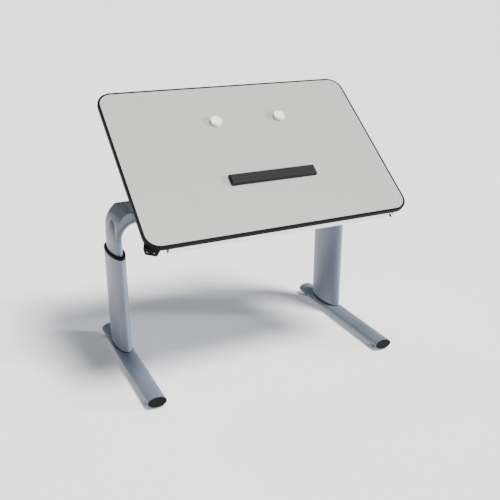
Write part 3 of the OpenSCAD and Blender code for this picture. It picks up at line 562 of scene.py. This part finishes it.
NODE_FINISH = {
    "profile_y": ["foot_left", "foot_right", "arm_left", "arm_right"],
    "profile_z": ["column_left", "column_right", "inner_tube_left", "inner_tube_right"],
    "profile_x": ["cross_beam"],
    "casting": ["elbow_left", "elbow_right", "hinge_lugs"],
    "zinc": ["lift_tubes", "spindle_left", "spindle_right", "column_bolts", "elbow_screws",
             "steel_sheet", "hinge_brackets", "hinge_pins", "prop_brackets", "bracket_screws",
             "lever_bracket", "release_lever", "prop_bars", "prop_pins", "foot_axle"],
    "dark_steel": ["leg_plates", "motors", "splice_blocks", "box_saddle", "beam_screws"],
    "laminate": ["writing_surface"],
    "backing": ["board_core"],
    "edging": ["edge_band"],
    "black": ["foot_caps", "collar_rings", "control_box", "lock_units", "handset", "lever_grip"],
    "keys": ["up_button", "down_button"],
    "grey_caps": ["rail_caps"],
    "rubber": ["glides", "column_gaskets", "motor_cables", "mains_inlet", "rest_buffers", "release_cables"],
    "rail": ["front_rail", "side_rails", "rear_rail"],
    "white": ["magnet_left", "magnet_right"],
    "bar": ["ruler_bar"],
    "brass": ["lift_nuts"],
    "nylon": ["guide_sleeves", "slide_shoes", "runners"],
}


# ---------------------------------------------------------------- operators

class TABLE_OT_coat_frame(bpy.types.Operator):
    """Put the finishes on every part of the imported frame"""
    bl_idname = "table.coat_frame"
    bl_label = "Coat the frame"

    def execute(self, context):
        made = finishes()
        left = set(NODES)
        for finish, nodes in NODE_FINISH.items():
            for node in nodes:
                coat(node, made[finish])
                left.discard(node)
        if left:
            raise RuntimeError(f"no finish for {sorted(left)}")
        return {"FINISHED"}


class TABLE_OT_foot_caps(bpy.types.Operator):
    """Moulded end caps of the feet: an oval face with a rounded rim and a shallow dish"""
    bl_idname = "table.foot_caps"
    bl_label = "Foot end caps"

    def execute(self, context):
        low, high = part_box("foot_caps")
        parts = []
        for side in ("foot_left", "foot_right"):
            foot_low, foot_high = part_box(side)
            centre_x = (foot_low[0] + foot_high[0]) / 2
            centre_z = (foot_low[2] + foot_high[2]) / 2
            half_w = (foot_high[0] - foot_low[0]) / 2
            half_h = (foot_high[2] - foot_low[2]) / 2
            for end_y, out in ((low[1], -1.0), (high[1], 1.0)):
                rim = 1.4 * MM
                levels = [(-4 * MM, -4 * MM, -12 * MM), (-4 * MM, -4 * MM, -3 * MM),
                          (-0.3 * MM, -0.3 * MM, -3 * MM)]
                for angle in np.linspace(0, np.pi / 2, 7):
                    inset = rim * (1 - math.cos(angle)) + 0.3 * MM
                    levels.append((-inset, -inset, -rim * (1 - math.sin(angle))))
                levels += [(-3.4 * MM, -3.4 * MM, 0.0), (-4.2 * MM, -4.2 * MM, -0.7 * MM)]
                for share in (0.8, 0.55, 0.3, 0.1, 0.0):
                    drop = -0.7 * MM - 0.5 * MM * (1 - share)
                    levels.append((-half_w + share * (half_w - 4.2 * MM),
                                   -half_h + share * (half_h - 4.2 * MM), drop))
                points = oval_rows(levels, np.array([centre_x, end_y, centre_z]), half_w, half_h,
                                   (1, 0, 0), (0, 0, 1), (0, out, 0))
                parts.append(make_piece("cap", points))
        piece = joined("moulded_foot_caps", parts)
        finish_piece(piece, "stand", "black_plastic", finishes()["black"], "foot_caps")
        return {"FINISHED"}


class TABLE_OT_collars(bpy.types.Operator):
    """Collars where the inner tubes leave the columns: rounded shoulder and wiper lip"""
    bl_idname = "table.collars"
    bl_label = "Column collars"

    def execute(self, context):
        parts = []
        ring_low, ring_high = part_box("collar_rings")
        for column, tube in (("column_left", "inner_tube_left"), ("column_right", "inner_tube_right")):
            centre = middle(column)
            col_low, col_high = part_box(column)
            tube_low, tube_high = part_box(tube)
            outer_a = (col_high[0] - col_low[0]) / 2 + 0.5 * MM
            outer_b = (col_high[1] - col_low[1]) / 2 + 0.5 * MM
            inner_a = (tube_high[0] - tube_low[0]) / 2 + 0.5 * MM
            inner_b = (tube_high[1] - tube_low[1]) / 2 + 0.5 * MM
            tall = ring_high[2] - ring_low[2]
            soft = 2.6 * MM
            shoulder = tall - 1.2 * MM
            section = [(1.0, 0.0), (1.0, shoulder - soft)]
            for angle in np.linspace(0, np.pi / 2, 7)[1:]:
                section.append((1 - (1 - math.cos(angle)) * soft / (outer_a - inner_a),
                                shoulder - soft * (1 - math.sin(angle))))
            section += [(0.5, tall - 0.8 * MM), (0.24, tall - 0.5 * MM), (0.16, tall), (0.06, tall),
                        (0.0, tall - 0.8 * MM), (0.0, 0.0)]
            levels = [(inner_a - outer_a + share * (outer_a - inner_a),
                       inner_b - outer_b + share * (outer_b - inner_b), z)
                      for share, z in section]
            points = oval_rows(levels, np.array([centre[0], centre[1], ring_low[2]]), outer_a, outer_b,
                               (1, 0, 0), (0, 1, 0), (0, 0, 1), 200)
            parts.append(make_piece("collar", points, wrap_rows=True))
        piece = joined("moulded_collars", parts)
        finish_piece(piece, "stand", "black_plastic", finishes()["black"], "collar_rings")
        return {"FINISHED"}


class TABLE_OT_magnets(bpy.types.Operator):
    """Round magnets: a turned cap with a soft rim, a finger groove and a dished face"""
    bl_idname = "table.magnets"
    bl_label = "Round magnets"

    def execute(self, context):
        sizes = context.scene.table_sizes
        for node, body in (("magnet_left", "left_magnet"), ("magnet_right", "right_magnet")):
            low, high = top_span(node)
            radius = (high[0] - low[0]) / 2
            tall = high[2] - low[2]
            halfway = (low + high) / 2
            centre = HINGE + halfway[0] * ALONG + halfway[1] * UPHILL + low[2] * SQUARE
            rim = sizes.magnet_rim
            profile = [(1e-5, 0.0), (radius - 1.2 * MM, 0.0), (radius - 0.5 * MM, 0.5 * MM),
                       (radius - 0.4 * MM, 1.6 * MM), (radius - 0.9 * MM, 2.0 * MM),
                       (radius - 0.9 * MM, 2.4 * MM), (radius - 0.2 * MM, 2.8 * MM),
                       (radius, 3.6 * MM), (radius - 0.2 * MM, tall - rim)]
            for angle in np.linspace(0, np.pi / 2, 9)[1:]:
                profile.append((radius - 0.2 * MM - rim * (1 - math.cos(angle)),
                                tall - rim * (1 - math.sin(angle))))
            profile += [(radius * 0.86, tall - 0.05 * MM), (radius * 0.72, tall - 0.35 * MM),
                        (radius * 0.4, tall - 0.7 * MM), (1e-5, tall - 0.8 * MM)]
            piece = make_piece(node + "_cap", turned(profile, centre, SQUARE), caps=True)
            finish_piece(piece, body, "white_plastic", finishes()["white"], node)
        return {"FINISHED"}


class TABLE_OT_ruler_bar(bpy.types.Operator):
    """Magnetic bar: bevelled section carried along its length with sloped ends"""
    bl_idname = "table.ruler_bar"
    bl_label = "Magnetic bar"

    def execute(self, context):
        sizes = context.scene.table_sizes
        low, high = top_span("ruler_bar")
        half_w = (high[1] - low[1]) / 2
        tall = high[2] - low[2]
        side_cut = 5 * MM
        end_cut = 3 * MM
        outline = [(-half_w, 0.0), (half_w, 0.0), (half_w, tall - side_cut), (half_w - side_cut, tall),
                   (side_cut - half_w, tall), (-half_w, tall - side_cut)]
        origin = HINGE + (low[1] + high[1]) / 2 * UPHILL + low[2] * SQUARE
        stations = [(low[0], tall - end_cut), (low[0] + end_cut, None), (high[0] - end_cut, None),
                    (high[0], tall - end_cut)]
        points = swept(outline, stations, origin, UPHILL, SQUARE, ALONG)
        piece = rounded(make_piece("bevelled_bar", points, smooth=False), sizes.edge_softness * 0.5, 2)
        finish_piece(piece, "bar", "black_lacquer", finishes()["bar"], "ruler_bar")
        return {"FINISHED"}


def handset_axes():
    """Middle of the two keys, and the axes of the face they stand on: along it, up it
    and into the housing."""
    inward = np.array(JOINTS["up_press"]["axis"], float)
    inward /= np.linalg.norm(inward)
    across = np.cross(inward, SQUARE)
    across /= np.linalg.norm(across)
    keys = (middle("up_button") + middle("down_button")) / 2
    return keys, across, np.cross(across, inward), inward


class TABLE_OT_handset(bpy.types.Operator):
    """Key handset: a moulded housing with soft edges, two keys and a raised arrow on each"""
    bl_idname = "table.handset"
    bl_label = "Key handset"

    def execute(self, context):
        sizes = context.scene.table_sizes
        made = finishes()
        keys, across, face_up, inward = handset_axes()
        # The housing: its flat back, and the same outline carried forward along the
        # board until it meets the plane of the leaning face.
        points = node_points("handset") - keys
        forward = np.cross(across, SQUARE)
        forward *= np.sign(forward @ -inward)
        reach = points @ forward
        back = points[reach < reach.min() + 0.2 * MM]
        side, high = back @ across, back @ SQUARE
        bearing = np.arctan2(high - high.mean(), side - side.mean())
        rim = back[np.argsort(bearing)]
        keep = np.linalg.norm(rim - np.roll(rim, 1, axis=0), axis=1) > 0.3 * MM
        rim = rim[keep]
        face = (points @ inward).min()
        travel = (face - rim @ inward) / (forward @ inward)
        shell = keys + np.stack([rim, rim + travel[:, None] * forward])
        piece = rounded(make_piece("handset_housing", shell, smooth=False), sizes.edge_softness, 4)
        finish_piece(piece, "top", "black_plastic", made["black"], "handset")
        for node, body, sign in (("up_button", "up_key", 1.0), ("down_button", "down_key", -1.0)):
            spot = node_points(node) - keys
            a, d, h = spot @ across, spot @ inward, spot @ face_up
            centre = keys + (a.min() + a.max()) / 2 * across + (h.min() + h.max()) / 2 * face_up
            width, tall = a.max() - a.min(), h.max() - h.min()
            rows = []
            proud = d.min()
            for inset, out in ((0.0, d.max()), (0.0, proud + 0.9 * MM), (0.25 * MM, proud + 0.4 * MM),
                               (0.9 * MM, proud + 0.05 * MM), (2.4 * MM, proud),
                               (4.4 * MM, proud + 0.25 * MM)):
                corner = max(3 * MM - inset * 0.5, 0.6 * MM)
                loop = round_rectangle(width - 2 * inset, tall - 2 * inset, corner)
                rows.append(centre + loop[:, :1] * across + loop[:, 1:] * face_up + out * inward)
            key = make_piece(node + "_pad", np.array(rows))
            finish_piece(key, body, "button_plastic", made["keys"], node)
            half = sizes.arrow_size / 2
            arrow = [(-half, -0.5 * half * sign), (half, -0.5 * half * sign), (0.0, 0.75 * half * sign)]
            mark = swept(arrow, [(proud - 0.05 * MM, None), (proud + 0.6 * MM, None)],
                         centre, across, face_up, inward)
            sign_piece = make_piece(node + "_arrow", mark, smooth=False)
            finish_piece(sign_piece, body, "button_plastic", made["ink"])
        return {"FINISHED"}


SCREW_GAP = 15 * MM
HEAD_HEIGHT = 3.2 * MM
HEAD_EDGE = 1.0 * MM


def button_head(points):
    """A lathe shape on the axis of one plain screw, the direction in which its points
    spread the most: shank, flat seat, a quarter-round dome and a hexagon-sized recess."""
    centre = points.mean(0)
    axis = np.linalg.svd(points - centre, full_matrices=False)[2][0]
    axis *= np.sign(axis[2])
    along = (points - centre) @ axis
    off = np.linalg.norm(points - centre - along[:, None] * axis, axis=1)
    head = off.max()
    shank = off[along < along.min() + 0.2 * MM].max()
    seat = along.max() - HEAD_HEIGHT
    foot = along.min() - seat
    rise = HEAD_HEIGHT - HEAD_EDGE
    angle = np.linspace(0, np.pi / 2, 9)[:-2]
    dome = [(head * math.cos(a), HEAD_EDGE + rise * math.sin(a)) for a in angle]
    profile = [(1e-5, foot), (shank, foot), (shank, 0.0), (head, 0.0), *dome,
               (head * 0.36, 3.1 * MM), (head * 0.34, 1.8 * MM), (1e-5, 1.7 * MM)]
    return turned(profile, centre + seat * axis, axis, 48)


class TABLE_OT_screw_heads(bpy.types.Operator):
    """Bright button-head screws in the outer faces of the elbows"""
    bl_idname = "table.screw_heads"
    bl_label = "Elbow screw heads"

    def execute(self, context):
        points = np.unique(np.round(node_points("elbow_screws"), 7), axis=0)
        screws = []
        for side in (-1, 1):
            own = points[np.sign(points[:, 0]) == side]
            own = own[np.argsort(own[:, 1])]
            screws += np.split(own, np.flatnonzero(np.diff(own[:, 1]) > SCREW_GAP) + 1)
        if len(screws) != 6:
            raise RuntimeError(f"{len(screws)} screws found instead of six")
        parts = [make_piece("screw", button_head(screw)) for screw in screws]
        # The heads wear the near-white finish whose colour is a painted highlight.
        finish_piece(joined("button_head_screws", parts), "lift_frame", "plated_steel",
                     finishes()["bright"], "elbow_screws")
        return {"FINISHED"}


class TABLE_OT_front_rail(bpy.types.Operator):
    """Front rail under the board: a rounded box section carried along the hinge line"""
    bl_idname = "table.front_rail"
    bl_label = "Front rail"

    def execute(self, context):
        sizes = context.scene.table_sizes
        low, high = top_span("front_rail")
        outline = round_rectangle(high[1] - low[1], high[2] - low[2], sizes.rail_corner)
        origin = HINGE + (low[1] + high[1]) / 2 * UPHILL + (low[2] + high[2]) / 2 * SQUARE
        steps = [(x, None) for x in np.linspace(low[0], high[0], 12)]
        points = swept(outline, steps, origin, UPHILL, SQUARE, ALONG)
        piece = make_piece("rounded_front_rail", points)
        finish_piece(piece, "top", "grey_lacquer", finishes()["rail"], "front_rail")
        return {"FINISHED"}


class TABLE_OT_lever_grip(bpy.types.Operator):
    """Soft sleeve on the release lever: a turned shape with shallow finger ribs"""
    bl_idname = "table.lever_grip"
    bl_label = "Lever sleeve"

    def execute(self, context):
        low, high = top_span("lever_grip")
        radius = (high[0] - low[0]) / 2
        length = high[1] - low[1]
        start = HINGE + (low[0] + high[0]) / 2 * ALONG + low[1] * UPHILL + (low[2] + high[2]) / 2 * SQUARE
        angle = np.linspace(0, np.pi / 2, 8)
        nose = np.stack([radius * np.sin(angle), radius * (1 - np.cos(angle))], 1)
        nose[0, 0] = 1e-5
        along = np.linspace(radius, length - 0.6 * MM, 90)[1:]
        ribs = radius - 0.35 * MM * (0.5 - 0.5 * np.cos(2 * np.pi * along / (3.2 * MM)))
        end = [[radius * 0.8, length], [1e-5, length]]
        profile = np.concatenate([nose, np.stack([ribs, along], 1), end])
        piece = make_piece("ribbed_lever_sleeve", turned(profile, start, UPHILL, 40))
        finish_piece(piece, "lever", "black_plastic", finishes()["black"], "lever_grip")
        return {"FINISHED"}


class TABLE_OT_studio(bpy.types.Operator):
    """Pale floor, soft lights and the camera"""
    bl_idname = "table.studio"
    bl_label = "Studio"

    def execute(self, context):
        studio = context.scene.table_studio
        scene = context.scene
        shift = Vector((0.0, float(middle("column_left")[1]), 0.0))
        angle = np.linspace(0, 2 * np.pi, 128, endpoint=False)
        radii = np.geomspace(0.02, 120.0, 48)
        disc = np.stack([radii[:, None] * np.cos(angle), radii[:, None] * np.sin(angle),
                         np.zeros((48, 128))], -1)
        floor = make_piece("floor", disc, caps=False)
        floor.data.polygons.foreach_set("use_smooth", np.zeros(len(floor.data.polygons), bool))
        fill_centre = bmesh.new()
        fill_centre.from_mesh(floor.data)
        inner_ring = [e for e in fill_centre.edges if e.is_boundary and e.verts[0].co.length < 1]
        bmesh.ops.holes_fill(fill_centre, edges=inner_ring, sides=0)
        bmesh.ops.recalc_face_normals(fill_centre, faces=fill_centre.faces)
        if sum(f.normal.z for f in fill_centre.faces) < 0:
            bmesh.ops.reverse_faces(fill_centre, faces=fill_centre.faces)
        fill_centre.to_mesh(floor.data)
        fill_centre.free()
        paint, tree, shader = surface("pale_studio_floor", Specular_IOR_Level=0.25)
        tint(tree, shader, noise(tree, even(0.8), 2.0), from_hex("FDFDFD"), from_hex("FFFFFF"))
        vary_roughness(tree, shader, noise(tree, even(0.02), 3.0), 0.7, 0.8)
        floor.data.materials.append(paint)

        world = bpy.data.worlds.new("even_room_light")
        world.use_nodes = True
        backdrop = world.node_tree.nodes["Background"]
        backdrop.inputs["Color"].default_value = from_hex("E6EEFA")
        backdrop.inputs["Strength"].default_value = studio.sky_strength
        scene.world = world

        for name, heading, strength, tone, width in (
                ("key_light", studio.key_heading, studio.key_strength, "FFFBF5", studio.softness),
                ("side_light", studio.side_heading, studio.side_strength, "F2F6FF", studio.side_softness),
                ("rear_light", studio.rear_heading, studio.rear_strength, "EEF4FF", studio.softness)):
            lamp = bpy.data.lights.new(name, "SUN")
            lamp.angle = width
            lamp.energy = strength
            lamp.color = from_hex(tone)[:3]
            holder = bpy.data.objects.new(name, lamp)
            holder.location = Vector(heading) * 4 + shift
            holder.rotation_euler = Vector(heading).to_track_quat("Z", "Y").to_euler()
            scene.collection.objects.link(holder)

        eye = bpy.data.cameras.new("studio_camera")
        eye.sensor_width = 36.0
        eye.lens = 49.78
        eye.clip_end = 300.0
        camera = bpy.data.objects.new("studio_camera", eye)
        camera.location = Vector((-1.2868, -2.9070, 1.6637)) + shift
        camera.rotation_euler = (math.radians(90 - 21.243), 0.0, math.radians(-25.712))
        scene.collection.objects.link(camera)
        scene.camera = camera
        return {"FINISHED"}


class TABLE_PT_panel(bpy.types.Panel):
    """Lists the table's pieces and settings"""
    bl_idname = "TABLE_PT_panel"
    bl_label = "Drafting table"
    bl_space_type = "VIEW_3D"
    bl_region_type = "UI"
    bl_category = "Drafting table"

    def draw(self, context):
        layout = self.layout
        for operator in OPERATORS:
            layout.operator(operator.bl_idname)
        for group in (context.scene.table_sizes, context.scene.table_studio):
            for key in group.__annotations__:
                layout.prop(group, key)


OPERATORS = (
    TABLE_OT_coat_frame, TABLE_OT_foot_caps, TABLE_OT_collars, TABLE_OT_magnets, TABLE_OT_ruler_bar,
    TABLE_OT_handset, TABLE_OT_screw_heads, TABLE_OT_front_rail, TABLE_OT_lever_grip, TABLE_OT_studio,
)
CLASSES = (TableSizes, StudioSettings, *OPERATORS, TABLE_PT_panel)


def register():
    """Register the classes and hang the settings on the scene."""
    for cls in CLASSES:
        bpy.utils.register_class(cls)
    bpy.types.Scene.table_sizes = PointerProperty(type=TableSizes)
    bpy.types.Scene.table_studio = PointerProperty(type=StudioSettings)


def unregister():
    """Remove the settings and the classes."""
    del bpy.types.Scene.table_sizes
    del bpy.types.Scene.table_studio
    for cls in reversed(CLASSES):
        bpy.utils.unregister_class(cls)


def main():
    """Build every piece in order."""
    register()
    for operator in OPERATORS:
        group, action = operator.bl_idname.split(".")
        getattr(getattr(bpy.ops, group), action)()


if __name__ == "__main__":
    main()
